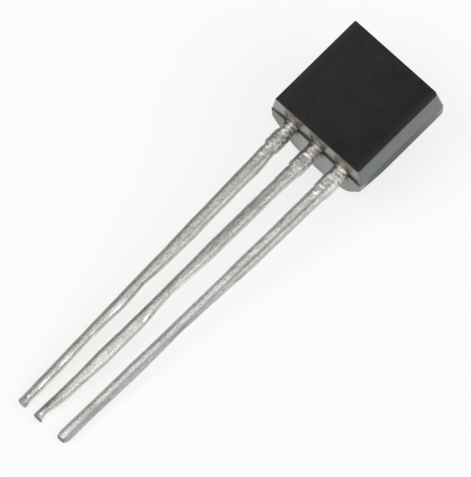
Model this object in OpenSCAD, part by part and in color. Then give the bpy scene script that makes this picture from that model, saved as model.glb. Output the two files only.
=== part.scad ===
// Three-lead plastic transistor in the TO-92 outline, lying at rest on its round back.
// Sizes are in millimetres. The device is drawn flat first: X across the leads, Y from the
// lead tips to the closed end of the moulding, Z from the round back up to the flat face,
// with Y = 0 at the end of the moulding that the leads leave. at_rest() then tips it onto
// its lead tips, as it lies on a bench. Leads from left to right, flat face up and leads
// towards the viewer: emitter, base, collector.

/* [Moulded body] */
// Width across the rear half, the widest place
body_w = 4.55; // [4.4:0.05:5.2]
// Height along the leads, at the front half's parting line
body_h = 4.43; // [4.3:0.01:5.3]
// Depth from the flat face to the round back
body_d = 3.7; // [3.4:0.05:4.1]
// Depth of the front half, from the flat face to the parting line
front_d = 1.1; // [0.95:0.05:1.25]
// Depth of the straight sides behind the parting line
side_d = 0.75; // [0.4:0.05:0.8]
// Radius of the round back
back_r = 2; // [1.8:0.05:2.1]
// Step by which the rear half stands proud of the front half at the lead end
ledge = 0.05; // [0.02:0.01:0.08]
// Step by which it stands proud at each side and at the closed end
side_ledge = 0.015; // [0.005:0.005:0.05]
// Radius of the moulding's upright corners, at the parting line
corner_r = 0.1; // [0.04:0.01:0.2]
// Lean of each side of the front half, from its parting line to the flat face
side_draft = 0.145; // [0.05:0.005:0.2]
// Lean of the front half's lead end
lead_end_draft = 0.04; // [0.02:0.01:0.1]
// Lean of the front half's closed end
closed_end_draft = 0.11; // [0.02:0.01:0.15]
// Lean of both ends of the rear half, from the parting line to the back
rear_end_draft = 0.1; // [0.08:0.01:0.2]

/* [Leads] */
// Distance between neighbouring leads where they leave the body
pitch = 1.27; // [1.2:0.01:1.34]
// Length of each lead outside the body
lead_len = 14.6; // [12.7:0.1:16]
// Width of the stamped lead
lead_w = 0.43; // [0.38:0.01:0.5]
// Thickness of the stamped lead, and of the frame inside the body
lead_t = 0.38; // [0.34:0.01:0.44]
// Extra tin on every face of a lead near the body
coat = 0.035; // [0.01:0.005:0.05]
// Length of the lead that carries the extra tin
coat_len = 5.5; // [3:0.5:7]
// Length over which the extra tin fades out
coat_fade = 2.5; // [1:0.5:4]
// Distance from the body to the stubs of the sheared dam bar
dam_gap = 0.45; // [0.3:0.05:0.8]
// Length of the dam bar stubs along the lead
dam_len = 0.7; // [0.4:0.1:1]
// How far a dam bar stub stands out at each side of a lead
dam_out = 0.04; // [0.02:0.01:0.08]
// Distance from the body at which a lead starts to lean sideways
bend_at = 1.6; // [1.4:0.1:2.5]
// Sideways shift of the emitter lead's tip, towards the collector
emitter_shift = 0.39; // [-0.4:0.01:0.4]
// Sideways shift of the base lead's tip, towards the collector
base_shift = -0.07; // [-0.4:0.01:0.4]
// Sideways shift of the collector lead's tip, away from the emitter
collector_shift = -0.19; // [-0.4:0.01:0.4]

/* [Frame inside the body] */
// Distance from the body's lead end to the anchor ears
ear_start = 0.3; // [0.2:0.05:0.35]
// Length of the anchor ears along the lead
ear_len = 0.25; // [0.15:0.05:0.3]
// How far an anchor ear stands out at each side of a lead
ear_out = 0.12; // [0.05:0.01:0.15]
// Distance from the body's lead end to the wire pads
pad_start = 0.95; // [0.8:0.05:1.1]
// Length of the wire pads along the lead
pad_len = 0.65; // [0.5:0.05:0.75]
// Gap between neighbouring pads, and between the pads and the chip flag
frame_gap = 0.42; // [0.3:0.02:0.46]
// Width of the chip flag
flag_w = 2.1; // [1.8:0.05:2.3]
// Moulding between the chip flag and the closed end
flag_cover = 0.7; // [0.5:0.05:0.9]
// Corner cut of the pads and the flag
corner_cut = 0.15; // [0.05:0.01:0.2]

/* [Chip and wires] */
// Side of the square chip
chip_w = 0.66; // [0.44:0.02:0.8]
// Thickness of the chip
chip_t = 0.2; // [0.1:0.02:0.24]
// Thickness of the solder between chip and flag
solder_t = 0.03; // [0.02:0.01:0.05]
// How far the solder shows round the chip
solder_rim = 0.04; // [0.02:0.01:0.06]
// Diameter of the bond wires
wire_d = 0.05; // [0.04:0.01:0.06]
// Diameter of the ball that bonds a wire to the chip
ball_d = 0.1; // [0.08:0.01:0.12]
// Height of a wire's loop above the chip
loop_h = 0.3; // [0.2:0.02:0.36]

/* [Hidden] */
$fn = 64;

EPOXY = [0.16, 0.16, 0.165];
TIN = [0.78, 0.78, 0.76];
SILICON = [0.35, 0.37, 0.42];
SOLDER = [0.62, 0.62, 0.60];
GOLD = [0.85, 0.66, 0.25];

// the parting plane is also the frame's front face
parting_z = body_d - front_d;
frame_back_z = parting_z - lead_t;
lead_mid_z = parting_z - lead_t/2;

// lead positions, from left to right
emitter_x = -pitch;
base_x = 0;
collector_x = pitch;

// how far the slanted sides run in under the round back's surface
NIP = 0.005;

// round back: its centre, and the foot of a slanted side
half_w = body_w/2;
side_end_z = parting_z - side_d;
back_z = back_r;
nip_r = back_r - NIP;
corner_gap = side_end_z - back_z;
corner_reach = norm([half_w, corner_gap]);
foot_turn = acos(nip_r/corner_reach) - atan2(corner_gap, half_w);
foot_x = nip_r*cos(foot_turn);
foot_z = back_z - nip_r*sin(foot_turn);
slant = (side_end_z - foot_z)/(half_w - foot_x);

// pads and flag
pad_w = pitch - frame_gap;
pad_end = pad_start + pad_len;
flag_start = pad_end + frame_gap;
flag_end = body_h - flag_cover;
flag_right = collector_x + lead_w/2;
flag_left = flag_right - flag_w;
chip_x = (flag_left + flag_right)/2;
chip_y = (flag_start + flag_end)/2;
chip_base_z = parting_z + solder_t;
chip_top_z = chip_base_z + chip_t;
chip_pad_shift = chip_w/4;
pad_mid = pad_start + pad_len/2;

// bond wires
WIRE_SIDES = 8;
WIRE_STEPS = 14;
ball_h = wire_d;
foot_d = 1.5*wire_d;
foot_h = wire_d;

// extra tin starts on the rear half's end face and thickens over this length
coat_lip = 0.08;

// rest: the heel of the back and the lead tips share the bench
heel_y = rear_end_draft - ledge;
rest_angle = atan2(frame_back_z, lead_len + heel_y);
rest_rise = -heel_y*sin(rest_angle);
far_y = max((body_h - heel_y)*cos(rest_angle),
            (body_h + side_ledge)*cos(rest_angle) - parting_z*sin(rest_angle));
near_y = -lead_len*cos(rest_angle) - parting_z*sin(rest_angle);
rest_shift = -(far_y + near_y)/2;

// tips the device onto its lead tips, with the origin under the middle of its box
module at_rest() {
    translate([0, rest_shift, rest_rise]) rotate([rest_angle, 0, 0]) children();
}

// prism along X from an outline in Y and Z
module along_x(outline, width) {
    rotate([90, 0, 90]) linear_extrude(height = width, center = true) polygon(outline);
}

// prism along Y from an outline in X and Z, from y0 to y1
module along_y(outline, y0, y1) {
    translate([0, y1, 0]) rotate([90, 0, 0]) linear_extrude(height = y1 - y0) polygon(outline);
}

// ---- moulded body ----

// a margin by which a cutting prism passes the body it trims
TRIM = 1;
// how far the front half reaches down into the rear half, and the wires' hollows into the frame's
LAP = 0.02;
// turn by which the round back starts behind the slanted sides
OVERLAP_TURN = 10;

// upright block that trims one half to its sides and rounded corners at the parting line
module plan(half, y0, y1, z0, z1) {
    translate([0, 0, z0]) linear_extrude(height = z1 - z0) {
        translate([corner_r - half, y0 - TRIM]) square([2*(half - corner_r), y1 - y0 + 2*TRIM]);
        translate([-half, y0 + corner_r]) square([2*half, y1 - y0 - 2*corner_r]);
        for (x = [corner_r - half, half - corner_r], y = [y0 + corner_r, y1 - corner_r])
            translate([x, y]) circle(corner_r);
    }
}

// all four walls lean in from the parting line
module front_half() {
    parting_half = half_w - side_ledge;
    low_z = parting_z - LAP;
    lean_out = LAP/front_d;
    side_top = parting_half - side_draft;
    side_low = parting_half + side_draft*lean_out;
    intersection() {
        plan(parting_half, 0, body_h, low_z, body_d + TRIM);
        along_y([[-side_low, low_z], [side_low, low_z], [side_top, body_d], [-side_top, body_d]],
                -TRIM, body_h + TRIM);
        along_x([[-lead_end_draft*lean_out, low_z], [lead_end_draft, body_d],
                 [body_h - closed_end_draft, body_d], [body_h + closed_end_draft*lean_out, low_z]],
                body_w + TRIM);
    }
}

// slanted sides that run on to the round back
module rear_sides(y0, y1) {
    wide = half_w + TRIM;
    wide_z = side_end_z + TRIM*slant;
    top_z = max(parting_z, wide_z) + TRIM;
    along_y([[-wide, top_z], [-wide, wide_z], [-foot_x, foot_z], [0, back_z/2],
             [foot_x, foot_z], [wide, wide_z], [wide, top_z]], y0, y1);
}

module round_back(y0, y1) {
    start = foot_turn - OVERLAP_TURN;
    translate([0, y0, back_z]) rotate([-90, 0, 0]) rotate([0, 0, start])
        rotate_extrude(angle = 180 - 2*start) square([back_r, y1 - y0]);
}

module rear_half() {
    closed_end = body_h + side_ledge;
    intersection() {
        plan(half_w, -ledge, closed_end, -TRIM, body_d);
        union() {
            rear_sides(-TRIM, body_h + TRIM);
            round_back(-TRIM, body_h + TRIM);
        }
        along_x([[-ledge, parting_z], [closed_end, parting_z],
                 [closed_end - rear_end_draft, 0], [rear_end_draft - ledge, 0]], body_w + TRIM);
    }
}

module moulded_body() {
    color(EPOXY) at_rest() difference() {
        union() {
            front_half();
            rear_half();
        }
        emitter_frame();
        base_frame();
        collector_frame();
        attach_layer();
        chip();
        emitter_wire(LAP);
        base_wire(LAP);
    }
}

// ---- leads ----

// sideways place of a lead's middle at distance d outside the body
function lead_x(x, shift, d) =
    x + shift*max(0, d - bend_at)/(lead_len - bend_at);

// half width of a lead down its length, as [distance, half width]
HALF_WIDTHS = [
    [ledge, lead_w/2],
    [ledge + coat_lip, lead_w/2 + coat],
    [dam_gap, lead_w/2 + coat],
    [dam_gap, lead_w/2 + coat + dam_out],
    [dam_gap + dam_len, lead_w/2 + coat + dam_out],
    [dam_gap + dam_len, lead_w/2 + coat],
    [bend_at, lead_w/2 + coat],
    [coat_len, lead_w/2 + coat],
    [coat_len + coat_fade, lead_w/2],
    [lead_len, lead_w/2]
];

// half thickness of a lead down its length, as [distance, half thickness]
HALF_DEPTHS = [
    [ledge, lead_t/2],
    [ledge + coat_lip, lead_t/2 + coat],
    [coat_len, lead_t/2 + coat],
    [coat_len + coat_fade, lead_t/2],
    [lead_len, lead_t/2]
];

// both edges of a band, down one side and back up the other
function band(stations, middle) = concat(
    [for (s = stations) [middle(s[0]) + s[1], -s[0]]],
    [for (i = [len(stations) - 1:-1:0]) [middle(stations[i][0]) - stations[i][1], -stations[i][0]]]
);

// the part of a lead outside the body: its front outline, thinned by its side outline
module leg(x, shift) {
    reach = 2*pitch;
    intersection() {
        linear_extrude(height = body_d) polygon(band(HALF_WIDTHS, function (d) lead_x(x, shift, d)));
        translate([x, 0, 0])
            along_x([for (p = band(HALF_DEPTHS, function (d) lead_mid_z)) [p[1], p[0]]], reach);
    }
}

// a flat piece of the frame, from its outline in X and Y
module stamped(outline) {
    translate([0, 0, frame_back_z]) linear_extrude(height = lead_t) polygon(outline);
}

// the straight neck of a lead inside the body, with its anchor ears, up to y1
module neck(x, y1) {
    w = lead_w/2;
    e = lead_w/2 + ear_out;
    ear_end = ear_start + ear_len;
    translate([x, 0, 0]) stamped([
        [-w, -ledge], [w, -ledge], [w, ear_start], [e, ear_start], [e, ear_end], [w, ear_end],
        [w, y1], [-w, y1], [-w, ear_end], [-e, ear_end], [-e, ear_start], [-w, ear_start]
    ]);
}

// a wire pad, its far corners cut
module pad(x) {
    w = pad_w/2;
    c = corner_cut;
    translate([x, 0, 0]) stamped([
        [-w, pad_start], [w, pad_start], [w, pad_end - c], [w - c, pad_end],
        [c - w, pad_end], [-w, pad_end - c]
    ]);
}

// the flag under the chip, three of its corners cut
module flag() {
    c = corner_cut;
    stamped([
        [flag_left + c, flag_start], [flag_right, flag_start], [flag_right, flag_end - c],
        [flag_right - c, flag_end], [flag_left + c, flag_end], [flag_left, flag_end - c],
        [flag_left, flag_start + c]
    ]);
}

module emitter_frame() {
    neck(emitter_x, pad_start);
    pad(emitter_x);
}

module base_frame() {
    neck(base_x, pad_start);
    pad(base_x);
}

module collector_frame() {
    neck(collector_x, flag_start);
    flag();
}

module emitter_lead() {
    color(TIN) at_rest() union() {
        emitter_frame();
        leg(emitter_x, emitter_shift);
    }
}

module base_lead() {
    color(TIN) at_rest() union() {
        base_frame();
        leg(base_x, base_shift);
    }
}

module collector_lead() {
    color(TIN) at_rest() union() {
        collector_frame();
        leg(collector_x, collector_shift);
    }
}

// ---- chip ----

// square block centred on the flag, from z0 upwards
module chip_block(side, z0, height) {
    translate([chip_x - side/2, chip_y - side/2, z0]) cube([side, side, height]);
}

module attach_layer() {
    chip_block(chip_w + 2*solder_rim, parting_z, solder_t);
}

module chip() {
    chip_block(chip_w, chip_base_z, chip_t);
}

module silicon_die() {
    color(SILICON) at_rest() chip();
}

module die_attach() {
    color(SOLDER) at_rest() attach_layer();
}

// ---- bond wires ----

// point of a cubic curve through p[0] and p[3], pulled towards p[1] and p[2]
function bezier(p, t) =
    p[0]*pow(1 - t, 3) + 3*p[1]*t*pow(1 - t, 2) + 3*p[2]*t*t*(1 - t) + p[3]*pow(t, 3);

// a wire's route in its own upright plane, as [along, up]: off the chip, over, down to the pad
function wire_route(span, sink) =
    let (ball_top = [0, chip_top_z + ball_h],
         foot_top = [span, parting_z + foot_h],
         rise = [0, chip_top_z + ball_h + loop_h],
         fall = [0.7*span, chip_top_z + ball_h + loop_h])
    concat([[0, chip_top_z - sink]],
           [for (i = [0:WIRE_STEPS]) bezier([ball_top, rise, fall, foot_top], i/WIRE_STEPS)],
           [[span, parting_z - sink]]);

// radius at each point of the route: ball, wire, flattened foot
function wire_radius(i, last) =
    i <= 1 ? ball_d/2 : i >= last - 1 ? foot_d/2 : wire_d/2;

// heading of the route at point i, upright at both bonds
function wire_heading(route, i) =
    let (last = len(route) - 1)
    i <= 1 ? [0, 1] : i >= last - 1 ? [0, -1] :
    (route[i + 1] - route[i - 1])/norm(route[i + 1] - route[i - 1]);

// tube with WIRE_SIDES sides from a chip pad to a frame pad, its ends sunk into both
module bond_wire(from, to, sink) {
    span = norm(to - from);
    way = (to - from)/span;
    route = wire_route(span, sink);
    last = len(route) - 1;
    points = [for (i = [0:last], k = [0:WIRE_SIDES - 1])
        let (h = wire_heading(route, i),
             r = wire_radius(i, last),
             a = 360*(k + 0.5)/WIRE_SIDES,
             along = route[i][0] - r*cos(a)*h[1],
             up = route[i][1] + r*cos(a)*h[0],
             side = r*sin(a))
        [from[0] + along*way[0] - side*way[1], from[1] + along*way[1] + side*way[0], up]];
    wall = [for (i = [0:last - 1], k = [0:WIRE_SIDES - 1], half = [0, 1])
        let (a = i*WIRE_SIDES + k,
             b = i*WIRE_SIDES + (k + 1)%WIRE_SIDES)
        half == 0 ? [a, b, b + WIRE_SIDES] : [a, b + WIRE_SIDES, a + WIRE_SIDES]];
    start_cap = [for (k = [WIRE_SIDES - 1:-1:0]) k];
    end_cap = [for (k = [0:WIRE_SIDES - 1]) last*WIRE_SIDES + k];
    polyhedron(points, concat([start_cap], wall, [end_cap]));
}

module emitter_wire(sink = 0) {
    bond_wire([chip_x - chip_pad_shift, chip_y], [emitter_x, pad_mid], sink);
}

module base_wire(sink = 0) {
    bond_wire([chip_x, chip_y - chip_pad_shift], [base_x, pad_mid], sink);
}

module emitter_bond_wire() {
    color(GOLD) at_rest() emitter_wire();
}

module base_bond_wire() {
    color(GOLD) at_rest() base_wire();
}

moulded_body();
emitter_lead();
base_lead();
collector_lead();
silicon_die();
die_attach();
emitter_bond_wire();
base_bond_wire();
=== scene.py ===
import math

import bmesh
import bpy
import numpy as np
from mathutils import Matrix, Vector, noise


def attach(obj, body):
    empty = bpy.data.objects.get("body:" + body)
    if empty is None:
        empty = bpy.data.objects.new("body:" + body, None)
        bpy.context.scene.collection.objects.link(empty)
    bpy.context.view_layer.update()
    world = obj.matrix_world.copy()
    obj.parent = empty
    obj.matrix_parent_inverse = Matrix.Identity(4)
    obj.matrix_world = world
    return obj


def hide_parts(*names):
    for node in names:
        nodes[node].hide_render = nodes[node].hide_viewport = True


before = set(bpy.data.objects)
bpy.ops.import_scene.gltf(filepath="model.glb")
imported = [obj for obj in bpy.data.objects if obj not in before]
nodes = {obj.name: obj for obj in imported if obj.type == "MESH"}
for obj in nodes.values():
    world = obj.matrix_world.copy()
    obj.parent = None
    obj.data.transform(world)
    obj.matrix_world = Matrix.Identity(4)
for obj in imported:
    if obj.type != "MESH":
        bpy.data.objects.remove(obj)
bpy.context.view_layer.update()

# ---- the part's own sizes, in millimetres, as in the CAD source ----
# Device frame: X across the leads, Y towards the closed end, Z from the round back (0) to the
# flat face; Y = 0 is the end of the front half that the leads leave.
HALF_W, BODY_H, BODY_D, FRONT_D, SIDE_D, BACK_R = 2.275, 4.43, 3.7, 1.1, 0.75, 2.0
LEDGE, SIDE_LEDGE, SIDE_DRAFT = 0.05, 0.015, 0.145
LEAD_END_DRAFT, CLOSED_END_DRAFT, REAR_END_DRAFT = 0.04, 0.11, 0.1
PITCH, LEAD_LEN, LEAD_W, LEAD_T = 1.27, 14.6, 0.43, 0.38
COAT, COAT_LEN, COAT_FADE, COAT_LIP = 0.035, 5.5, 2.5, 0.08
DAM_GAP, DAM_LEN, DAM_OUT, BEND_AT = 0.45, 0.7, 0.04, 1.6
EAR_START, EAR_LEN, EAR_OUT, PAD_START, PAD_LEN = 0.3, 0.25, 0.12, 0.95, 0.65
FRAME_GAP, FLAG_W, FLAG_COVER, CORNER_CUT = 0.42, 2.1, 0.7, 0.15
PARTING_Z = BODY_D - FRONT_D
FRAME_BACK_Z = PARTING_Z - LEAD_T
LEAD_MID_Z = PARTING_Z - LEAD_T / 2
LEADS = {"emitter_lead": (-PITCH, 0.39), "base_lead": (0.0, -0.07), "collector_lead": (PITCH, -0.19)}

# ---- from the device frame, in millimetres, to the row frame, in metres, as it lies on its round back ----
MM = 0.001
heel = REAR_END_DRAFT - LEDGE
rest_angle = math.atan2(FRAME_BACK_Z, LEAD_LEN + heel)
COS, SIN = math.cos(rest_angle), math.sin(rest_angle)
far_y = max((BODY_H - heel) * COS, (BODY_H + SIDE_LEDGE) * COS - PARTING_Z * SIN)
REST_SHIFT = -(far_y - LEAD_LEN * COS - PARTING_Z * SIN) / 2
REST_RISE = -heel * SIN


def to_row(points):
    p = np.asarray(points, float)
    x, y, z = p[:, 0], p[:, 1], p[:, 2]
    return np.stack([x, y * COS - z * SIN + REST_SHIFT, y * SIN + z * COS + REST_RISE], 1) * MM


def new_object(name, data):
    obj = bpy.data.objects.new(name, data)
    bpy.context.scene.collection.objects.link(obj)
    return obj


# ---- camera: the photograph's angle, with a long lens ----
PHOTO_LONG_SIDE, FOCAL_PIXELS, SENSOR = 477, 10000, 36
CAMERA_PLACE = (0.0922553, -0.133945, 0.3315076)
RIGHT, DOWN = (0.71923, 0.6901, 0.08044), (0.648208, -0.624841, -0.4352)
AHEAD = (-0.25007, 0.365151, -0.896733)
cam_data = bpy.data.cameras.new("camera")
cam_data.lens = FOCAL_PIXELS * SENSOR / PHOTO_LONG_SIDE
cam_data.sensor_width = SENSOR
cam_data.clip_start, cam_data.clip_end = 0.01, 10.0
camera = new_object("camera", cam_data)
rotation = Matrix((RIGHT, [-v for v in DOWN], [-v for v in AHEAD])).transposed()
camera.matrix_world = Matrix.Translation(Vector(CAMERA_PLACE)) @ rotation.to_4x4()
bpy.context.scene.camera = camera


# ---- mesh helpers ----
SHORTEST_EDGE = 4e-4    # in millimetres: shorter ones are dissolved after a union
SAME_HEIGHT = 1e-5
# how far across the body the grid that closes a half's end has its points, from left to right
ACROSS_END = (0.02, 0.05, 0.09, 0.13, 0.2, 0.3, 0.4, 0.5, 0.6, 0.7, 0.8, 0.87, 0.92, 0.95, 0.98)


def share(value):
    """A number held between 0 and 1."""
    return min(1.0, max(0.0, value))


def mesh_object(name, points, faces):
    mesh = bpy.data.meshes.new(name)
    mesh.from_pydata([tuple(p) for p in points], [], [tuple(int(i) for i in f) for f in faces])
    mesh.validate()
    return new_object(name, mesh)


def united(name, first, *others):
    """The union of some solids, drawn in millimetres in the device frame, as a piece in the row frame.

    Gives the piece, and its points' places in the device frame."""
    for other in others:
        mod = first.modifiers.new("union", "BOOLEAN")
        mod.operation, mod.solver, mod.object = "UNION", "EXACT", other
    made = bpy.data.meshes.new_from_object(first.evaluated_get(bpy.context.evaluated_depsgraph_get()))
    for obj in (first, *others):
        bpy.data.objects.remove(obj)
    made.name = name
    # faces with many sides are cut up here, so that no triangle without area is left
    cleaned = bmesh.new()
    cleaned.from_mesh(made)
    bmesh.ops.triangulate(cleaned, faces=[face for face in cleaned.faces if len(face.verts) > 4])
    bmesh.ops.dissolve_degenerate(cleaned, dist=SHORTEST_EDGE, edges=cleaned.edges)
    cleaned.to_mesh(made)
    cleaned.free()
    co = np.zeros(len(made.vertices) * 3)
    made.vertices.foreach_get("co", co)
    device = co.reshape(-1, 3)
    made.vertices.foreach_set("co", to_row(device).ravel())
    made.update()
    return new_object(name, made), device


def paint(obj, name, values):
    """Keeps a value for each point, which the material reads by name."""
    layer = obj.data.attributes.new(name, "FLOAT", "POINT")
    layer.data.foreach_set("value", np.asarray(values, np.float32))


def shade(obj, degrees):
    """Smooth shading, apart from edges that turn by more than some degrees."""
    obj.data.shade_smooth()
    obj.data.set_sharp_from_angle(angle=math.radians(degrees))


def loops_to_solid(name, loops, ends=(None, None)):
    """A closed solid from a stack of loops with equal point counts.

    Each end is closed by one flat face or, where ends gives a height y(x, z) for it and the loops are
    symmetric in X from their first point to their last, by a grid that follows that height."""
    count = len(loops[0])
    points = list(np.concatenate(loops))
    faces = []
    for row in range(len(loops) - 1):
        a = row * count
        for k in range(count):
            n = (k + 1) % count
            faces.append((a + k, a + n, a + count + n, a + count + k))
    for first, height in zip((0, (len(loops) - 1) * count), ends):
        cap = []
        if height is None:
            cap.append(tuple(range(first, first + count)))
        else:
            rights = list(range(first, first + count // 2))
            lefts = [2 * first + count - 1 - k for k in rights]
            # the last points on each side share one height and close the grid together
            last_z = points[rights[-1]][2]
            top = next(k for k, r in enumerate(rights) if abs(points[r][2] - last_z) < SAME_HEIGHT)
            rows = []
            for right, left in zip(rights[:top], lefts[:top]):
                inner = []
                if rows:
                    for f in ACROSS_END:
                        x, z = points[left][0] * (1 - f) + points[right][0] * f, points[left][2]
                        inner.append(len(points))
                        points.append(np.array([x, height(x, z), z]))
                rows.append([left, *inner, right])
            for low, high in zip(rows, rows[1:]):
                if len(low) == len(high):
                    cap += [(low[j], low[j + 1], high[j + 1], high[j]) for j in range(len(low) - 1)]
                else:
                    cap.append((*low, *high[::-1]))
            cap.append((*rows[-1], *rights[top:], *lefts[top:][::-1]))
        faces += cap if first else [f[::-1] for f in cap]
    return mesh_object(name, points, faces)


# ---- moulded body ----
SUPPORT = 0.012         # a point or loop this far beside each rounding keeps its shading tight
RIM_RINGS = 7
# distances behind an end's rim at which the sides get a loop, and where the draw-in at the leads' end fades
BEHIND_RIM = (SUPPORT, 0.03, 0.05, 0.075, 0.10, 0.13, 0.16, 0.20, 0.26, 0.34, 0.44, 0.56, 0.7,
              0.85, 1.0, 1.15, 1.3)
DRAW_LEN = 1.3


def filleted(corners, arc_step=6.0):
    """Points and outward normals of a convex outline, given anticlockwise as (x, z, corner radius)."""
    points, normals = [], []
    count = len(corners)
    for i, (x, z, radius) in enumerate(corners):
        p = np.array([x, z])
        a = np.array(corners[i - 1][:2]) - p
        b = np.array(corners[(i + 1) % count][:2]) - p
        a, b = a / np.linalg.norm(a), b / np.linalg.norm(b)
        na, nb = np.array([-a[1], a[0]]), np.array([b[1], -b[0]])
        turn = math.atan2(na[0] * nb[1] - na[1] * nb[0], na @ nb)
        if radius <= 0:
            points.append(p)
            n = na + nb
            normals.append(n / np.linalg.norm(n))
            continue
        reach = radius * math.tan(abs(turn) / 2)
        centre = p + a * reach - na * radius
        steps = max(2, round(math.degrees(abs(turn)) / arc_step))
        points.append(p + a * (reach + SUPPORT))
        normals.append(na)
        for k in range(steps + 1):
            t = turn * k / steps
            cos, sin = math.cos(t), math.sin(t)
            n = np.array([na[0] * cos - na[1] * sin, na[0] * sin + na[1] * cos])
            points.append(centre + radius * n)
            normals.append(n)
        points.append(p + b * (reach + SUPPORT))
        normals.append(nb)
    return np.array(points), np.array(normals)


def swept(name, outline, y_low, y_high, rim, wall, corner, draw_in=lambda z: 0.0):
    """Sweeps an outline in X and Z along Y between two leaning end faces.

    The end faces have rounded rims of radius rim(x, z). The sides stand at +-wall(z), and the upright
    edges between them and the end faces are rounded to the radii corner(right, high, z). Towards the
    leads the right side draws in by draw_in(z)."""
    points, normals = outline
    start = next(k for k in range(len(points))
                 if points[k][0] > 0 > points[k - 1][0] and normals[k][1] <= 0.5)
    points, normals = np.roll(points, -start, 0), np.roll(normals, -start, 0)
    radius = np.array([rim(x, z) for x, z in points])
    loops = []

    def loop(end, sign, sink, along):
        q = points - normals * sink[:, None]
        x = q[:, 0].copy()
        for right, side in ((False, -1), (True, 1)):
            r = np.array([corner(right, sign < 0, z) for z in q[:, 1]])
            short = np.clip(r - along, 0, r)
            lean = np.array([draw_in(z) for z in q[:, 1]]) * (right and sign > 0)
            cut = r - np.sqrt(r ** 2 - short ** 2) + lean * np.clip(1 - along / DRAW_LEN, 0, 1) ** 1.3
            reach = 1.5 * (r + lean)
            inside = np.array([wall(z) for z in q[:, 1]]) - side * q[:, 0]
            x -= side * np.clip(cut * (1 - inside / reach), 0, cut)
        y = np.array([end(at_x, z) for at_x, z in zip(x, q[:, 1])]) + sign * along
        loops.append(np.stack([x, y, q[:, 1]], 1))

    def rounded_end(end, sign):
        made = [(radius + SUPPORT, radius * 0)]
        for k in range(RIM_RINGS + 1):
            t = math.pi / 2 * (1 - k / RIM_RINGS)
            made.append((radius * (1 - math.cos(t)), radius * (1 - math.sin(t))))
        for behind in BEHIND_RIM:
            made.append((radius * 0, radius + behind))
        for sink, along in (made if sign > 0 else made[::-1]):
            loop(end, sign, sink, along)

    rounded_end(y_low, 1)
    rounded_end(y_high, -1)
    return loops_to_solid(name, loops[::-1], (y_high, y_low))


INSET, INSET_END = 0.007, 0.005     # how far the front half stays inside the CAD's sides and closed end
OVERLAP = 0.08                      # how far it goes down into the rear half
FLAT_EDGE_R = 0.05                  # the rounding along the flat face's sides
SIDE_EDGE_R = 0.25                  # the rounding where the rear half's upright sides turn inwards


def front_half():
    parting = HALF_W - INSET
    flat = HALF_W - SIDE_LEDGE - SIDE_DRAFT
    below = PARTING_Z - OVERLAP
    closed = BODY_H + SIDE_LEDGE - INSET_END
    flat_end = BODY_H - CLOSED_END_DRAFT
    side = [(parting + (flat - parting) * k, PARTING_Z + FRONT_D * k, 0)
            for k in (0, 0.015, 0.03, 0.045, 0.06, 0.075, 0.11, 0.2, 0.35, 0.5, 0.65, 0.8, 0.9)]
    right = [(parting, below, 0), *side, (flat, BODY_D, FLAT_EDGE_R)]
    outline = filleted([*right, *[(-x, z, r) for x, z, r in right[::-1]]])

    def up(z):
        return share((z - PARTING_Z) / FRONT_D)

    def low_end(x, z):
        # the step at the parting line is deepest between the leads and runs out at the corners
        step = max(0.035, 0.075 - 0.8 * (z - PARTING_Z))
        return max(LEAD_END_DRAFT * up(z), step * share((x + 2.2) / 0.5) * share((2.25 - x) / 0.2))

    def rim(x, z):
        return 0.028 + 0.02 * share((BODY_D - 0.02 - z) / 0.12)

    def corner(right, high, z):
        if high:
            return 0.10 + 0.07 * up(z) if right else 0.06
        return 0.10 if right else 0.02 + 0.01 * up(z)

    return swept("front_half", outline, low_end, lambda x, z: closed - (closed - flat_end) * up(z) ** 1.2,
                 rim, lambda z: parting + (flat - parting) * up(z), corner)


def rear_half():
    side_z = PARTING_Z - SIDE_D
    gap = side_z - BACK_R
    turn = math.acos(BACK_R / math.hypot(HALF_W, gap)) - math.atan2(gap, HALF_W)
    arc = [(BACK_R * math.cos(t), BACK_R - BACK_R * math.sin(t), 0)
           for t in np.linspace(turn, math.pi - turn, 58)]
    right_side = [(HALF_W, PARTING_Z, 0.03),
                  *[(HALF_W, PARTING_Z - k, 0) for k in (0.08, 0.16, 0.27, 0.38, 0.5)],
                  (HALF_W, side_z, SIDE_EDGE_R)]
    left_side = [(-x, z, r) for x, z, r in right_side[::-1]]
    outline = filleted([*arc, *left_side, *right_side][::-1])

    def draft(z):
        return REAR_END_DRAFT * (PARTING_Z - z) / PARTING_Z

    def rim(x, z):
        return 0.008 + 0.04 * share((PARTING_Z - z) / 0.15)

    def corner(right, high, z):
        if high:
            return np.interp(PARTING_Z - z, (0, 0.16, 0.5, 0.75, 1.1), (0.10, 0.045, 0.03, 0.12, 0.22))
        return 0.12 if right else 0.05

    return swept("rear_half", outline, lambda x, z: -LEDGE + draft(z) * (1 - 0.5 * share(abs(x) - 0.9)),
                 lambda x, z: BODY_H + SIDE_LEDGE - draft(z), rim, lambda z: HALF_W, corner,
                 lambda z: 0.085 * share((PARTING_Z - z) / 0.7))


body, body_at = united("body_moulding", rear_half(), front_half())
shade(body, 38)
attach(body, "root")
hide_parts("moulded_body")


# ---- leads ----
def table(rows, d, soften=0.05):
    """A table of distances and values read at the distances d, its steps softened over a short length."""
    xs, ys = [], []
    for at, value in rows:
        xs.append(at + (1e-3 if xs and at <= xs[-1] else 0))
        ys.append(value)
    spread = np.linspace(-soften, soften, 9)
    return np.mean([np.interp(d + s, xs, ys) for s in spread], axis=0)


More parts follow.
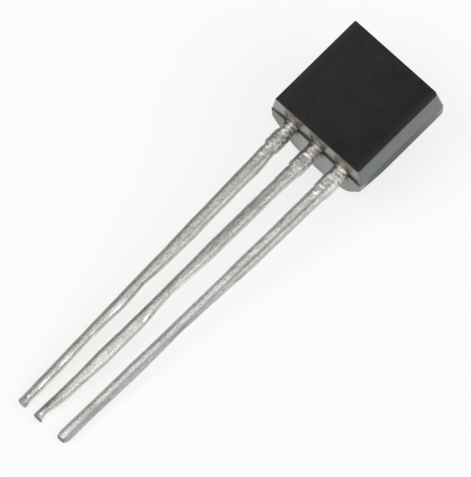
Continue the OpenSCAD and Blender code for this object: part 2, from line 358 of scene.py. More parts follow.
# half the width and depth of a lead: distance from the body, then the CAD's value
WIRE_W, COATED_W, DAM_W = LEAD_W / 2, LEAD_W / 2 + COAT, LEAD_W / 2 + COAT + DAM_OUT
WIRE_T, COATED_T = LEAD_T / 2, LEAD_T / 2 + COAT
DAM_END, COAT_END = DAM_GAP + DAM_LEN, COAT_LEN + COAT_FADE
HALF_WIDTHS = [(LEDGE, WIRE_W), (LEDGE + COAT_LIP, COATED_W), (DAM_GAP, COATED_W), (DAM_GAP, DAM_W),
               (DAM_END, DAM_W), (DAM_END, COATED_W), (COAT_LEN, COATED_W), (COAT_END, WIRE_W),
               (LEAD_LEN, WIRE_W)]
HALF_DEPTHS = [(LEDGE, WIRE_T), (LEDGE + COAT_LIP, COATED_T), (COAT_LEN, COATED_T), (COAT_END, WIRE_T),
               (LEAD_LEN, WIRE_T)]
CORNER_R = (0.14, 0.10, 0.08, 0.08)     # of a lead's section: left front, right front, right back, left back
CROWN = 0.026                           # how much its sides bulge
INSIDE_LEN, INSIDE_SCALE = 0.10, 0.97   # how far its tinned part goes on inside the body, a little thinner
END_R, END_RINGS = 0.05, 6              # the rounded rim of its cut end
NEAR_LEN, TIP_LEN = 2.2, 0.4            # the lengths at its two ends that have the closest loops
LOOP_RUNS = ((-INSIDE_LEN, NEAR_LEN, 0.03), (NEAR_LEN, LEAD_LEN - TIP_LEN, 0.045),
             (LEAD_LEN - TIP_LEN, LEAD_LEN - END_R - 0.005, 0.02))      # from, to, distance between loops
SEAM_SPREAD = 0.14                      # of the groove along its front face, across that face
CLIMB_LEN, CLIMB_FRONT, CLIMB_BACK = 0.34, 0.13, 0.05   # how the solder climbs from it to the body
LONG_WAVE, SHORT_WAVE, BLOB = 0.014, 0.006, 0.016       # heights of the tin's waves and the solder's lumps
SOLDER_END, WAVES_END = 2.6, 9.0        # where the lumpy solder and the full waves in the tin end
# how the tin and the pinched, trimmed wire leave the plain section: distance from the body, then how
# much fuller the left and the right side are, as seen in the photograph
FULLER = {
    "emitter_lead": [(1.2, 0, 0), (1.7, -0.04, 0.05), (2.2, -0.04, 0.08), (2.8, -0.03, 0.045),
        (4.7, -0.035, 0.02), (5.5, -0.035, 0.03), (6.7, -0.035, 0.01), (7.3, -0.01, -0.01), (8.2, 0, -0.08),
        (9.3, 0, -0.015), (10.3, 0, -0.08), (11.0, 0, -0.11), (12.5, -0.01, -0.09), (13.7, -0.01, -0.09),
        (14.2, -0.02, -0.13), (14.35, -0.02, -0.125), (14.42, 0, -0.095), (14.52, 0, -0.095),
        (14.6, -0.02, -0.12)],
    "base_lead": [(1.2, 0.03, -0.02), (2.0, 0.01, -0.06), (5.5, 0.01, -0.06), (6.3, -0.01, -0.07),
        (7.0, 0.01, -0.10), (7.7, 0.01, -0.12), (8.5, 0, -0.07), (9.2, 0, 0.01), (10.0, 0, 0.02),
        (11.2, 0.02, 0.04), (12.3, -0.02, -0.01), (13.2, -0.02, -0.04), (13.7, -0.01, -0.10),
        (14.2, 0, -0.21), (14.38, 0, -0.18), (14.6, 0.01, -0.08)],
    "collector_lead": [(1.2, 0.03, 0.03), (1.7, 0.02, 0.02), (2.2, 0.02, 0.02), (3.0, 0.01, 0.02),
        (4.5, 0, 0.025), (5.5, -0.01, 0.01), (6.2, -0.01, -0.02), (7.7, 0.015, -0.03), (8.5, 0.02, -0.06),
        (9.5, 0.01, -0.02), (10.7, 0.02, 0), (12.0, 0.01, -0.01), (13.2, 0.01, -0.03), (14.2, 0.02, -0.01),
        (14.42, 0.01, -0.01), (14.53, -0.02, -0.06), (14.6, -0.05, -0.13)],
}


def lead_x(x0, shift, d):
    """Sideways place of a lead's middle, its bend smoothed over half a millimetre each way."""
    run = d - BEND_AT
    reach = np.where(run <= -0.5, 0, np.where(run >= 0.5, run, (run + 0.5) ** 2 / 2))
    return x0 + shift * reach / (LEAD_LEN - BEND_AT)


def section(half_w, half_d, radii, per_corner=7, per_side=7):
    """A rounded rectangle in X and Z with outward normals, anticlockwise from the left front corner."""
    pts, nrm = [], []
    signs = ((-1, 1), (-1, -1), (1, -1), (1, 1))
    order = (0, 3, 2, 1)
    for k, (sx, sz) in enumerate(signs):
        r = radii[order[k]]
        cx, cz = sx * (half_w - r), sz * (half_d - r)
        start = (90, 180, 270, 0)[k]
        for j in range(per_corner):
            t = math.radians(start + 90 * j / (per_corner - 1))
            n = np.array([math.cos(t), math.sin(t)])
            pts.append(np.array([cx, cz]) + r * n)
            nrm.append(n)
        nx, nz = signs[(k + 1) % 4]
        nr = radii[order[(k + 1) % 4]]
        after = np.array([nx * (half_w - nr), nz * (half_d - nr)]) + nr * n
        last = pts[-1]
        for j in range(1, per_side + 1):
            f = j / (per_side + 1)
            pts.append(last * (1 - f) + after * f)
            nrm.append(n)
    return np.array(pts), np.array(nrm)


def bumps(p, size, seed):
    """Smooth noise at some points, with bumps of about the given size."""
    shift = Vector((seed, 3.1 * seed, 7.7 * seed))
    return np.array([noise.noise(Vector(q) + shift) for q in p / size])


def lead_sweep(name, x0, shift, seed, fuller, lumps, seam):
    """A lead outside the body: the CAD section along its length, with the tin's waves, lumps and seam."""
    d = np.concatenate([np.arange(*run) for run in LOOP_RUNS])
    sinks = [0.0] * len(d)
    for k in range(1, END_RINGS + 1):
        t = math.pi / 2 * k / END_RINGS
        d = np.append(d, LEAD_LEN - END_R + END_R * math.sin(t) * 0.999)
        sinks.append(END_R * (1 - math.cos(t)))
    hw, hd = table(HALF_WIDTHS, d), table(HALF_DEPTHS, d)
    left, right = (table([(row[0], row[side]) for row in fuller], d, 0.08) for side in (1, 2))
    loops, normals = [], []
    for i, di in enumerate(d):
        scale = 1.0 if di > -LEDGE else INSIDE_SCALE
        w, h = max(hw[i], WIRE_W) * scale, max(hd[i], WIRE_T) * scale
        pts, nrm = section(w, h, CORNER_R)
        place = pts[:, 0] / w
        across = 1 - np.clip(np.abs(pts) / (w, h), 0, 1) ** 2
        crown = CROWN * np.clip(di / 0.3, 0, 1) * (nrm[:, 1:] > -0.5)
        groove = seam * np.exp(-((place - SEAM_SIDE) / SEAM_SPREAD) ** 2) * (nrm[:, 1] > 0.5)
        groove = groove * np.clip(di / 0.6, 0, 1)
        # solder climbs from the lead to the body, mostly in front and in the middle of each side
        rise = max(0.0, 1 - di / CLIMB_LEN) ** 2 if di > -LEDGE else 0.0
        climb = nrm * rise * np.where(nrm[:, 1:] > 0, CLIMB_FRONT, CLIMB_BACK)
        climb = climb * (0.4 + 0.6 * across.max(1, keepdims=True))
        pts = pts + np.sign(nrm) * (np.abs(nrm) > 0.9) * crown * across[:, ::-1] + climb
        pts = pts - nrm * (sinks[i] + groove[:, None])
        x = lead_x(x0, shift, di) + pts[:, 0] + np.where(place > 0, right[i], -left[i]) * np.abs(place)
        loops.append(np.stack([x, np.full(len(pts), -di), LEAD_MID_Z + pts[:, 1]], 1))
        normals.append(np.stack([nrm[:, 0], nrm[:, 0] * 0, nrm[:, 1]], 1))
    p = np.concatenate(loops)
    n = np.concatenate(normals)
    dist = -p[:, 1]
    # tin: long soft waves and short ones, and thick and lumpy towards the body
    long_wave = bumps(p * (1, 0.45, 1), 0.30, seed)
    short = bumps(p * (1, 0.8, 1), 0.11, seed + 5)
    blob = bumps(p * (1, 0.9, 1), 0.12, seed + 9)
    near = np.clip((SOLDER_END - dist) / 1.4, 0, 1) * np.clip((dist - 0.02) / 0.25, 0, 1)
    dipped = np.clip((WAVES_END - dist) / 3.0, 0.5, 1)
    tip = np.clip((LEAD_LEN - 0.12 - dist) / 0.25, 0, 1)
    out = (LONG_WAVE * long_wave * dipped + SHORT_WAVE * short * dipped + BLOB * blob * near) * tip
    for at, side, reach, height in lumps:
        angle = np.array([math.cos(math.radians(side)), 0, math.sin(math.radians(side))])
        facing = np.clip(n @ angle, 0, 1)
        out += height * np.exp(-((dist - at) / reach) ** 2) * facing ** 2
    out *= np.clip((dist + 0.02) / 0.12, 0, 1)
    # nothing stands out at the back of the tips, on which the part rests
    out -= np.maximum(out, 0) * np.clip(-n[:, 2], 0, 1) * np.clip((dist - 7.0) / 3.0, 0, 1)
    p = p + n * out[:, None]
    return loops_to_solid(name, np.split(p, len(loops)))


def stamped(name, outline, bevel=0.02):
    """A flat piece of the frame from its outline in X and Y, its edges softened."""
    count = len(outline)
    pts = [(x, y, z) for z in (FRAME_BACK_Z, PARTING_Z) for x, y in outline]
    faces = [tuple(range(count))[::-1], tuple(range(count, 2 * count))]
    faces += [(k, (k + 1) % count, count + (k + 1) % count, count + k) for k in range(count)]
    obj = mesh_object(name, pts, faces)
    mod = obj.modifiers.new("soft_edges", "BEVEL")
    mod.width, mod.segments, mod.limit_method = bevel, 2, "ANGLE"
    return obj


def neck(x, y1):
    """A lead's outline inside the body up to y1, with its ears: the points before and after the pad's."""
    w, e, ear_end = WIRE_W, WIRE_W + EAR_OUT, EAR_START + EAR_LEN
    right = [(w, 0.02), (w, EAR_START), (e, EAR_START), (e, ear_end), (w, ear_end), (w, y1)]
    left = [(-dx, y) for dx, y in right[::-1]]
    return [(x + dx, y) for dx, y in (left[-1], *right)], [(x + dx, y) for dx, y in left[:-1]]


def pad_frame(x):
    w, c, end = (PITCH - FRAME_GAP) / 2, CORNER_CUT, PAD_START + PAD_LEN
    pad = [(x + w, PAD_START), (x + w, end - c), (x + w - c, end),
           (x + c - w, end), (x - w, end - c), (x - w, PAD_START)]
    before, after = neck(x, PAD_START)
    return before + pad + after


def flag_frame(x):
    start, end = PAD_START + PAD_LEN + FRAME_GAP, BODY_H - FLAG_COVER
    r = PITCH + WIRE_W
    left, c = r - FLAG_W, CORNER_CUT
    flag = [(r, end - c), (r - c, end), (left + c, end),
            (left, end - c), (left, start + c), (left + c, start)]
    before, after = neck(x, start)
    return before + flag + after


# bumps in the tin that the photograph shows: distance from the body, side it faces in degrees
# (0 right, 90 front, 180 left), reach along the lead, height
LUMPS = {
    "emitter_lead": [(1.22, 180, 0.10, -0.045), (0.30, 90, 0.16, 0.02), (0.85, 60, 0.2, 0.015),
        (14.30, 90, 0.10, -0.02)],
    "base_lead": [(1.20, 180, 0.10, -0.03), (0.95, 75, 0.18, 0.02), (0.3, 90, 0.15, 0.02),
        (14.48, 90, 0.10, -0.03)],
    "collector_lead": [(1.15, 180, 0.09, -0.02), (0.35, 90, 0.15, 0.02), (1.5, 90, 0.15, -0.015)],
}
# a groove along one front face: the side it lies on (-1 left, 1 right), and its depth
SEAM_SIDE = 0.52
SEAMS = {"emitter_lead": 0.0, "base_lead": 0.0, "collector_lead": 0.007}
# the dark line along each front face: the side it lies on, then distance from the body and strength
DARK_LINES = {"emitter_lead": (0.70, [(0.4, 0.0), (1.2, 0.6), (9.0, 0.6), (10.2, 0.05)]),
              "base_lead": (0.62, [(0.8, 0.0), (1.5, 0.3), (6.5, 0.3), (8.0, 0.0)]),
              "collector_lead": (SEAM_SIDE, [(0.0, 0.0), (0.8, 1.1), (14.6, 1.15)])}
# painted light and shade on the tin, with some tarnish, as a scale on its brightness: distance from the body,
# then left side, middle, right side
TARNISH_AND_PAINTED_LIGHT = {
    "emitter_lead": [(0.3, 0.60, 1.06, 0.46), (1.2, 0.52, 0.98, 0.70), (2.2, 0.46, 0.86, 0.76),
        (3.5, 0.48, 0.90, 0.82), (6.0, 0.58, 0.92, 0.94), (8.5, 0.60, 0.92, 0.95),
        (14.6, 0.62, 0.98, 1.10)],
    "base_lead": [(0.3, 0.58, 0.96, 0.66), (1.2, 0.95, 0.84, 0.92), (2.0, 0.98, 0.64, 0.96),
        (4.0, 0.94, 0.64, 0.94), (7.0, 0.90, 0.74, 1.15), (9.0, 0.76, 1.14, 0.88), (12.5, 0.70, 1.12, 0.95),
        (13.8, 0.52, 0.80, 1.05), (14.3, 0.50, 0.78, 1.0), (14.45, 1.0, 1.1, 1.0)],
    "collector_lead": [(0.3, 0.85, 0.92, 1.05), (1.5, 1.0, 1.20, 0.84), (3.0, 1.02, 1.20, 0.80),
        (6.0, 1.02, 1.22, 0.84), (8.0, 1.0, 1.16, 0.78), (14.6, 1.0, 1.20, 0.72)],
}
# painted highlights, where the tin catches the light: distance from the body, side (-1 left, 1 right), reach
# along the lead
PAINTED_GLINTS = {
    "emitter_lead": [(9.6, 0.35, 0.35), (10.9, 0.5, 0.12), (12.3, 0.3, 0.3), (13.5, 0.3, 0.3)],
    "base_lead": [(7.2, 0.75, 0.7), (9.1, 0.5, 0.2), (9.75, 0.3, 0.2), (11.4, 0.2, 0.65)],
    "collector_lead": [(14.37, 0.0, 0.17)],
}
GLINT_GAIN = 1.5                             # how strong the painted highlights are
GLINT_SPREAD, LINE_SPREAD = 0.35, 0.2   # how far they and the dark lines reach to each side
TONE_SOFTEN = 0.3                       # the length over which tones and dark lines change along a lead
BARE_LEN = 0.30                         # of the emitter's untinned end; its pinched cut shows a longer rim
CUT_RIM = {"emitter_lead": 0.12, "base_lead": 0.05, "collector_lead": 0.05}
leads = {}
for order, (node, (x0, shift)) in enumerate(LEADS.items()):
    collector = node == "collector_lead"
    outline = flag_frame(x0) if collector else pad_frame(x0)
    sweep = lead_sweep("sweep", x0, shift, 11.0 + 17 * order, FULLER[node], LUMPS[node], SEAMS[node])
    piece, at = united(node + "_tinned", sweep, stamped("frame", outline))
    shade(piece, 50)
    dist = -at[:, 1]
    front = at[:, 2] > LEAD_MID_Z
    side = (at[:, 0] - lead_x(x0, shift, dist)) / COATED_W
    paint(piece, "solder", np.clip((2.0 - dist) / 0.8, 0, 1))
    paint(piece, "cut", np.clip((dist - (LEAD_LEN - CUT_RIM[node])) / 0.03, 0, 1))
    paint(piece, "bare", np.clip((dist - (LEAD_LEN - BARE_LEN)) / 0.1, 0, 1) * (node == "emitter_lead"))
    paint(piece, "cool", dist * 0 + collector)
    line_side, strength = DARK_LINES[node]
    line = np.exp(-((side - line_side) / LINE_SPREAD) ** 2) * front
    paint(piece, "seam", line * table(strength, dist, TONE_SOFTEN))
    # painted light and shade: each lead darker on its left side, lighter in the middle and on the right, as
    # tones along it
    left_tone, tone, right_tone = (table([(row[0], row[k]) for row in TARNISH_AND_PAINTED_LIGHT[node]], dist, TONE_SOFTEN)
                                   for k in (1, 2, 3))
    left_part, right_part = np.clip(-side / 0.7, 0, 1), np.clip(side / 0.6, 0, 1)
    paint(piece, "tone", tone + (left_tone - tone) * left_part + (right_tone - tone) * right_part)
    glint = sum(np.exp(-((dist - place) / reach) ** 2 - ((side - across) / GLINT_SPREAD) ** 2)
                for place, across, reach in PAINTED_GLINTS[node])
    paint(piece, "painted_glint", glint * GLINT_GAIN * front)
    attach(piece, "root")
    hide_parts(node)
    leads[node] = piece


# ---- materials ----
def grey(level):
    return (level, level, level)


class Nodes:
    """A small helper that writes a node tree: call it with a node type, its settings and its inputs."""

    def __init__(self, owner):
        owner.use_nodes = True
        self.tree = owner.node_tree
        self.tree.nodes.clear()

    def __call__(self, kind, inputs=None, **settings):
        node = self.tree.nodes.new("ShaderNode" + kind)
        for key, value in settings.items():
            setattr(node, key, value)
        for key, value in (inputs or {}).items():
            self.feed(node.inputs[key], value)
        return node

    def feed(self, socket, value):
        if isinstance(value, bpy.types.NodeSocket):
            self.tree.links.new(value, socket)
        else:
            socket.default_value = value

    def ramp(self, fac, *stops):
        """A colour ramp; each stop is a place and a colour, or a place and a grey level."""
        node = self("ValToRGB", {"Fac": fac})
        elements = node.color_ramp.elements
        while len(elements) < len(stops):
            elements.new(0.5)
        for element, (at, colour) in zip(elements, stops):
            element.position = at
            element.color = (*(grey(colour) if isinstance(colour, (int, float)) else colour), 1)
        return node.outputs["Color"]

    def fade(self, value, start, end, low=0.0, high=1.0):
        """Goes from low to high as a value goes from start to end, and stays there."""
        return self("MapRange", {"Value": value, "From Min": start, "From Max": end,
                                 "To Min": low, "To Max": high}).outputs[0]

    def math(self, op, a, b=0.0, c=0.0, clamp=False):
        return self("Math", {0: a, 1: b, 2: c}, operation=op, use_clamp=clamp).outputs[0]

    def times(self, first, *others):
        for other in others:
            first = self.math("MULTIPLY", first, other)
        return first

    def mix(self, fac, a, b, blend="MIX"):
        node = self("Mix", data_type="RGBA", blend_type=blend)
        for key, value in (("Factor_Float", fac), ("A_Color", a), ("B_Color", b)):
            if isinstance(value, tuple):
                value = (*value, 1)
            self.feed(next(s for s in node.inputs if s.identifier == key), value)
        return next(s for s in node.outputs if s.identifier == "Result_Color")

    def device(self, along=None):
        """A point's place in the device frame, in millimetres; along shortens Y, which makes grain longer."""
        coords = self("TexCoord").outputs["Object"]
        back = (0, -(REST_SHIFT * COS + REST_RISE * SIN), REST_SHIFT * SIN - REST_RISE * COS)
        place = self("Mapping", {"Vector": coords, "Scale": grey(1 / MM), "Rotation": (-rest_angle, 0, 0),
                                 "Location": back}).outputs[0]
        return self("Mapping", {"Vector": place, "Scale": (1, along, 1)}).outputs[0] if along else place

    def noise(self, vector, scale, detail=2.0, rough=0.5, seed=0.0):
        return self("TexNoise", {"Vector": vector, "W": seed, "Scale": scale, "Detail": detail,
                                 "Roughness": rough}, noise_dimensions="4D").outputs["Fac"]

    def attribute(self, name):
        return self("Attribute", attribute_name=name).outputs["Fac"]

    def bump(self, height, strength, distance_mm, normal=None):
        inputs = {"Height": height, "Strength": strength, "Distance": distance_mm * MM}
        if normal:
            inputs["Normal"] = normal
        return self("Bump", inputs).outputs[0]

    def surface(self, **inputs):
        names = {k.replace("_", " "): v for k, v in inputs.items()}
        shader = self("BsdfPrincipled", names)
        self("OutputMaterial", {"Surface": shader.outputs[0]})
        return shader


def new_material(name):
    mat = bpy.data.materials.new(name)
    return mat, Nodes(mat)


def dress(obj, material):
    obj.data.materials.clear()
    obj.data.materials.append(material)


def epoxy(name, ior, base, rough_low, rough_high):
    """Black moulded epoxy, a shade warmer at the emitter's side; near the leads it has flux and solder with
    painted reflections and painted shade, and its sides a painted sheen.

    base is the level of its black, which its own tints multiply."""
    mat, n = new_material(name)
    p = n.device()
    axes = n("SeparateXYZ", {"Vector": p}).outputs
    x, y, z = axes["X"], axes["Y"], axes["Z"]

    def tint(*levels):
        return tuple(level * base for level in levels)

    # where a point is: beside the flat face, on the end that the leads leave, in front of the parting line
    beside = n.fade(n.math("ABSOLUTE", x), 1.8, 2.15)
    normal = n("NewGeometry").outputs["Normal"]
    facing_leads = n("VectorMath", {0: normal, 1: (0, -COS, -SIN)}, operation="DOT_PRODUCT").outputs["Value"]
    at_end = n.times(n.fade(y, 0.30, 0.20), n.fade(facing_leads, 0.25, 0.6))
    is_front = n.fade(z, PARTING_Z - 0.02, PARTING_Z + 0.02)
    behind = n.times(n.math("SUBTRACT", 1.0, is_front), n.fade(y, 0.05, 0.5),
                     n.fade(y, BODY_H - 0.05, BODY_H - 0.5))

    # the moulding: cloudy blacks, with a painted bluish sheen at the sides, painted paler towards their far
    # ends
    warmth = n.math("MULTIPLY_ADD", x, 0.11, n.noise(p, 1.1, 3.0, 0.6, seed=2.0))
    colour = n.ramp(warmth, (0.26, tint(2.9, 1.9, 1.9)), (0.50, tint(1.3, 1.5, 1.1)),
                    (0.74, tint(0.1, 0.4, 0.5)))
    cloud = n.noise(p, 1.6, 3.0, seed=5.0)
    # painted sheen: the sides get a paler, bluish black for the sky they reflect
    painted_side_sheen = n.mix(n.ramp(cloud, (0.44, 0.0), (0.56, 1.0)), tint(3.0, 4.6, 5.4), tint(3.8, 4.3, 6.2))
    colour = n.mix(beside, colour, painted_side_sheen)
    # painted reflection: the sides are paler towards the closed end, where they reflect more lit floor
    painted_far_sheen = n.times(beside, n.fade(y, 2.6, 4.2), n.fade(z, BODY_D, PARTING_Z, 0.25, 0.9))
    colour = n.mix(painted_far_sheen, colour, (0.070, 0.071, 0.068))
    colour = n.mix(n.ramp(cloud, (0.4, 0.0), (0.7, 0.6)), colour, tint(1.9, 2.0, 1.7))
    fleck = n.ramp(n.noise(p, 6.0, 4.0, 0.65, seed=13.0),
                   (0.36, (0.60, 0.58, 0.56)), (0.50, (0.88, 0.92, 0.88)), (0.64, grey(1.0)))
    colour = n.mix(1.0, colour, fleck, "MULTIPLY")

    # flux on the leads' end and its painted reflections, from the emitter's side to the collector's, in front
    # and behind; the pale greys and blues are painted sheen
    along_end = n.math("MULTIPLY_ADD", x, 0.22, n.math("MULTIPLY_ADD", cloud, 0.12, 0.44))
    back_flux_and_sheen = n.ramp(along_end, (0.0, (0.055, 0.052, 0.022)), (0.22, (0.058, 0.054, 0.022)),
                       (0.36, (0.250, 0.255, 0.258)), (0.48, (0.10, 0.095, 0.070)),
                       (0.62, (0.155, 0.195, 0.245)), (0.80, grey(0.09)), (1.0, (0.095, 0.10, 0.10)))
    front_flux_and_sheen = n.ramp(along_end, (0.0, (0.185, 0.205, 0.165)), (0.20, (0.14, 0.14, 0.12)),
                        (0.34, (0.105, 0.10, 0.085)), (0.50, (0.085, 0.080, 0.062)),
                        (0.64, (0.10, 0.098, 0.085)), (0.90, (0.105, 0.098, 0.094)),
                        (1.0, (0.12, 0.115, 0.11)))
    stain = n.ramp(n.noise(p, 7.0, 3.0, 0.6, seed=9.0), (0.35, 0.35), (0.6, 0.0))
    colour = n.mix(at_end, colour, n.mix(stain, n.mix(is_front, back_flux_and_sheen, front_flux_and_sheen), (0.03, 0.028, 0.022)))

    # round each lead: brown flux with the leads' painted reflection, a ring of painted shade, solder with its
    # painted reflection in front, and painted shade in the parting line
    aside = n("Math", {0: x, 1: PITCH / 2, 2: -PITCH / 2}, operation="WRAP").outputs[0]
    ragged = n.math("MULTIPLY_ADD", n.noise(p, 6.0, 3.0, 0.6, seed=8.0), 0.42, -0.20)
    away = n.math("ADD", n.math("ABSOLUTE", aside), ragged)

    def near_leads(mask, z_low, z_high):
        """A mask kept to the leads' end, between two heights that it fades in and out over."""
        return n.times(mask, n.fade(at_end, 0.3, 0.9), n.fade(x, 2.0, 1.8), n.fade(x, -2.0, -1.8),
                       n.fade(z, *z_low), n.fade(z, *z_high))

    # a brown tint round each lead, partly flux and partly the painted reflection of the lead
    flux_and_lead_reflection = near_leads(n.ramp(away, (0.20, 1.0), (0.46, 0.0)), (1.6, 2.3), (4.0, 3.6))
    colour = n.mix(flux_and_lead_reflection, colour, (0.070, 0.060, 0.036))
    # painted shade: a dark, broken ring beside each lead, for the shade in the corners where it leaves the
    # body
    ring = n.ramp(n.math("MULTIPLY_ADD", aside, -0.10, away),
                  (0.20, 0.0), (0.25, 1.0), (0.32, 1.0), (0.39, 0.0))
    painted_root_shade = near_leads(ring, (2.0, 2.5), (3.6, 3.0))
    painted_root_shade = n.times(painted_root_shade, n.ramp(n.noise(p, 2.6, 2.0, seed=21.0), (0.42, 0.35), (0.56, 0.95)))
    colour = n.mix(painted_root_shade, colour, (0.018, 0.010, 0.005))
    # a cream patch in front of each lead: solder smeared on the end, with the painted reflection of the
    # solder at the roots
    broken = n.math("MULTIPLY_ADD", n.noise(p, 11.0, 2.0, seed=10.0), 0.4, away)
    solder = near_leads(n.ramp(broken, (0.26, 1.0), (0.42, 0.0)), (2.4, 2.6), (3.6, 2.9))
    colour = n.mix(n.times(solder, 0.85), colour, (0.43, 0.39, 0.33))
    # painted shade: a dark line in the parting line beside each lead
    parting_shade_reach = n.math("MULTIPLY_ADD", n.noise(p, 8.0, 2.0, seed=15.0), 0.2, away)
    painted_parting_shade = near_leads(n.ramp(parting_shade_reach, (0.32, 1.0), (0.46, 0.0)), (2.38, 2.5), (2.95, 2.75))
    colour = n.mix(n.times(painted_parting_shade, 0.85), colour, (0.020, 0.016, 0.008))
    # behind the parting line the rear half is a bluish black, with the same painted paler reflection at the
    # far ends
    colour = n.mix(behind, colour, n.mix(painted_far_sheen, tint(0.6, 0.9, 1.4), (0.110, 0.111, 0.106)))

    rough = n.ramp(n.noise(p, 4.0, 3.0, 0.55, seed=4.0), (0.3, rough_low), (0.7, rough_high))
    rough = n.mix(behind, rough, grey(0.50))
    dull_end = n.times(at_end, n.math("MULTIPLY_ADD", is_front, -0.5, 0.5))
    rough = n.mix(n.math("MAXIMUM", flux_and_lead_reflection, dull_end), rough, grey(0.45))
    rough = n.mix(painted_root_shade, rough, grey(0.85))
    grain = n.noise(p, 26.0, 3.0, 0.6, seed=1.0)
    pit = n.noise(p, 9.0, 2.0, 0.6, seed=3.0)
    bump = n.bump(pit, 0.4, 0.009, n.bump(grain, 0.5, 0.0035))
    n.surface(Base_Color=colour, Roughness=rough, Normal=bump, IOR=ior)
    return mat


def tinned():
    """Tin over copper, dulled: olive, pinkish and blue-grey patches, duller cream solder at the body, painted
    light and shade across each lead and painted highlights.
    """
    mat, n = new_material("tinned_copper")
    p, along = n.device(), n.device(0.35)
    solder, cut, bare = n.attribute("solder"), n.attribute("cut"), n.attribute("bare")
    colour = n.ramp(n.noise(along, 2.6, 3.0, 0.6, seed=1.0),
                    (0.30, (0.50, 0.52, 0.42)), (0.42, (0.68, 0.69, 0.62)), (0.52, (0.77, 0.76, 0.715)),
                    (0.60, (0.74, 0.69, 0.655)), (0.72, (0.64, 0.69, 0.70)))
    speckle = n.ramp(n.noise(n.device(0.7), 15.0, 3.0, 0.65, seed=7.0),
                     (0.34, (0.58, 0.57, 0.54)), (0.48, (0.90, 0.90, 0.89)), (0.60, grey(1.0)))
    cool = n.mix(n.attribute("cool"), grey(1), (0.97, 1.0, 1.03))
    colour = n.mix(1.0, n.mix(1.0, colour, speckle, "MULTIPLY"), cool, "MULTIPLY")
    cream = n.mix(n.ramp(n.noise(p, 9.0, 3.0, 0.6, seed=12.0), (0.38, 0.0), (0.62, 1.0)),
                  (0.52, 0.51, 0.46), (0.80, 0.79, 0.745))
    colour = n.mix(n.times(solder, 0.8), colour, cream)
    colour = n("VectorMath", {0: colour, "Scale": n.attribute("tone")}, operation="SCALE").outputs[0]
    # painted highlights: the tin is made near white where they lie, broken up by noise
    glint_breakup = n.ramp(n.noise(along, 9.0, 3.0, 0.65, seed=11.0), (0.42, 0.0), (0.52, 1.0))
    painted_glint = n.math("MULTIPLY", n.attribute("painted_glint"), glint_breakup, clamp=True)
    colour = n.mix(painted_glint, colour, (0.98, 0.98, 0.97))

    # brown flux at the root, then the dark line, the bare end and the cut
    at_body = n.fade(n("SeparateXYZ", {"Vector": p}).outputs["Y"], -0.35, 0.0)
    flux = n.times(at_body, n.ramp(n.noise(p, 6.0, 3.0, 0.6, seed=6.0), (0.42, 0.0), (0.60, 0.85)))
    colour = n.mix(flux, colour, (0.30, 0.24, 0.165))
    colour = n.mix(n.times(n.attribute("seam"), 0.75), colour, (0.27, 0.29, 0.30))
    colour = n.mix(n.times(bare, 0.8), colour, (0.60, 0.56, 0.54))
    colour = n.mix(cut, colour, n.mix(bare, (0.22, 0.205, 0.20), (0.42, 0.37, 0.36)))

    rough = n.ramp(n.noise(along, 4.0, 3.0, 0.6, seed=9.0), (0.32, 0.24), (0.45, 0.42), (0.7, 0.55))
    rough = n.mix(n.times(solder, 0.7), rough, grey(0.42))
    rough = n.mix(painted_glint, rough, grey(0.30))
    rough = n.mix(cut, rough, grey(0.5))
    streak = n.noise(n.device(0.05), 20.0, 2.0, 0.5, seed=3.0)
    grain = n.noise(p, 17.0, 4.0, 0.65, seed=4.0)
    bump = n.bump(streak, 0.4, 0.005, n.bump(grain, 1.0, 0.011))
    n.surface(Base_Color=colour, Metallic=1.0, Roughness=rough, Normal=bump)
    return mat


def inner(name, dark, pale, smooth, rough, scales=(8.0, 15.0, 30.0), detail=3.0, bump=(0.3, 0.002),
          metallic=1.0):
    """A finish for a piece inside the body: two colours, two roughnesses, and their noises' scales."""
    mat, n = new_material(name)
    p = n.device()
    clouds, gloss, grain = scales
    colour = n.ramp(n.noise(p, clouds, detail), (0.3, dark), (0.7, pale))
    roughness = n.ramp(n.noise(p, gloss, 2.0, seed=2.0), (0.3, smooth), (0.7, rough))
    relief = n.bump(n.noise(p, grain, 2.0), *bump)
    n.surface(Base_Color=colour, Metallic=metallic, Roughness=roughness, Normal=relief)
    return mat


dress(body, epoxy("black_epoxy_sides", ior=1.68, base=0.012, rough_low=0.13, rough_high=0.27))
body.data.materials.append(epoxy("black_epoxy_flat", ior=1.42, base=0.0048, rough_low=0.22, rough_high=0.38))
FLAT_FROM = BODY_D - 0.03               # faces above this height have the flat face's material
for face in body.data.polygons:
    middle = np.mean([body_at[i] for i in face.vertices], 0)
    face.material_index = int(middle[2] > FLAT_FROM)
tin = tinned()
for piece in leads.values():
    dress(piece, tin)
dress(nodes["silicon_die"], inner("silicon", (0.10, 0.11, 0.14), (0.17, 0.18, 0.21), 0.12, 0.25,
                                  scales=(6.0, 12.0, 40.0), detail=2.0, bump=(0.2, 0.001), metallic=0.6))
dress(nodes["die_attach"], inner("die_solder", (0.50, 0.50, 0.48), (0.64, 0.63, 0.60), 0.3, 0.45))
gold = inner("gold_wire", (0.80, 0.56, 0.20), (0.90, 0.68, 0.30), 0.18, 0.33)
for wire in ("emitter_bond_wire", "base_bond_wire"):
    dress(nodes[wire], gold)

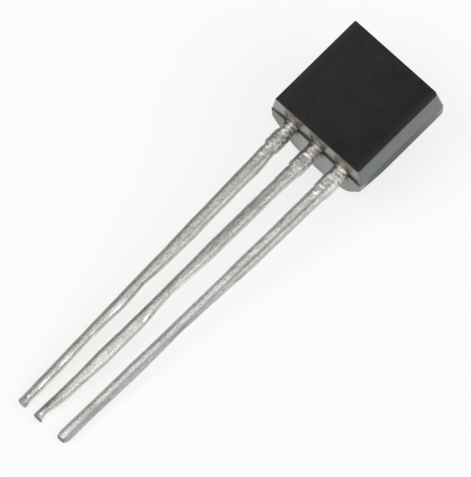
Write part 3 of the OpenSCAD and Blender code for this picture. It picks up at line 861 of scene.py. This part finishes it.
# ---- floor, world and lamps ----
FLOOR_HALF, FLOOR_GLOW = 1.5, 0.74      # half its width, and the share of plain white in its seen colour
corners = ((-1, -1), (1, -1), (1, 1), (-1, 1))
floor = mesh_object("floor", [(FLOOR_HALF * i, FLOOR_HALF * j, 0) for i, j in corners], [(0, 1, 2, 3)])
paper, n = new_material("pale_paper")
ray = n("LightPath").outputs
seen = n.math("MAXIMUM", ray["Is Camera Ray"], ray["Is Glossy Ray"])
seen = n.math("MAXIMUM", seen, ray["Is Transmission Ray"])
sheet = n("BsdfDiffuse", {"Color": (*grey(0.90), 1)}).outputs[0]
glow = n("Emission", {"Color": (*grey(1), 1), "Strength": 1.0}).outputs[0]
lit = n("MixShader", {0: n.times(seen, FLOOR_GLOW), 1: sheet, 2: glow}).outputs[0]
# from below the floor is clear, so that the part's back can be seen
clear = n("BsdfTransparent").outputs[0]
shown = n("MixShader", {0: n("NewGeometry").outputs["Backfacing"], 1: lit, 2: clear}).outputs[0]
n("OutputMaterial", {"Surface": shown})
dress(floor, paper)

# a grey studio, palest at the right, so that the bare metal has something to reflect
world = bpy.data.worlds.new("studio")
bpy.context.scene.world = world
n = Nodes(world)
from_left = n("SeparateXYZ", {"Vector": n("TexCoord").outputs["Generated"]}).outputs["X"]
sky = n.ramp(n.math("MULTIPLY_ADD", from_left, 0.5, 0.5), (0.08, 0.28), (0.25, 0.38), (0.38, 0.56),
             (0.55, 0.75), (0.80, 1.0), (0.93, 0.95), (0.99, 0.5))
n("OutputWorld", {"Surface": n("Background", {"Color": sky, "Strength": 1.0}).outputs[0]})


def lamp(name, direction, distance, size, watts):
    """A round lamp that shines at the origin from a direction."""
    data = bpy.data.lights.new(name, "AREA")
    data.shape, data.size, data.energy = "DISK", size, watts
    obj = new_object(name, data)
    d = Vector(direction).normalized()
    obj.location = d * distance
    obj.rotation_euler = (-d).to_track_quat("-Z", "Y").to_euler()


lamp("key", (-0.26, -0.5, 0.82), distance=0.8, size=0.48, watts=2.0)
lamp("right", (0.75, 0.2, 0.65), distance=0.8, size=0.8, watts=1.1)
bpy.context.scene.view_settings.view_transform = "Standard"

bpy.context.view_layer.update()
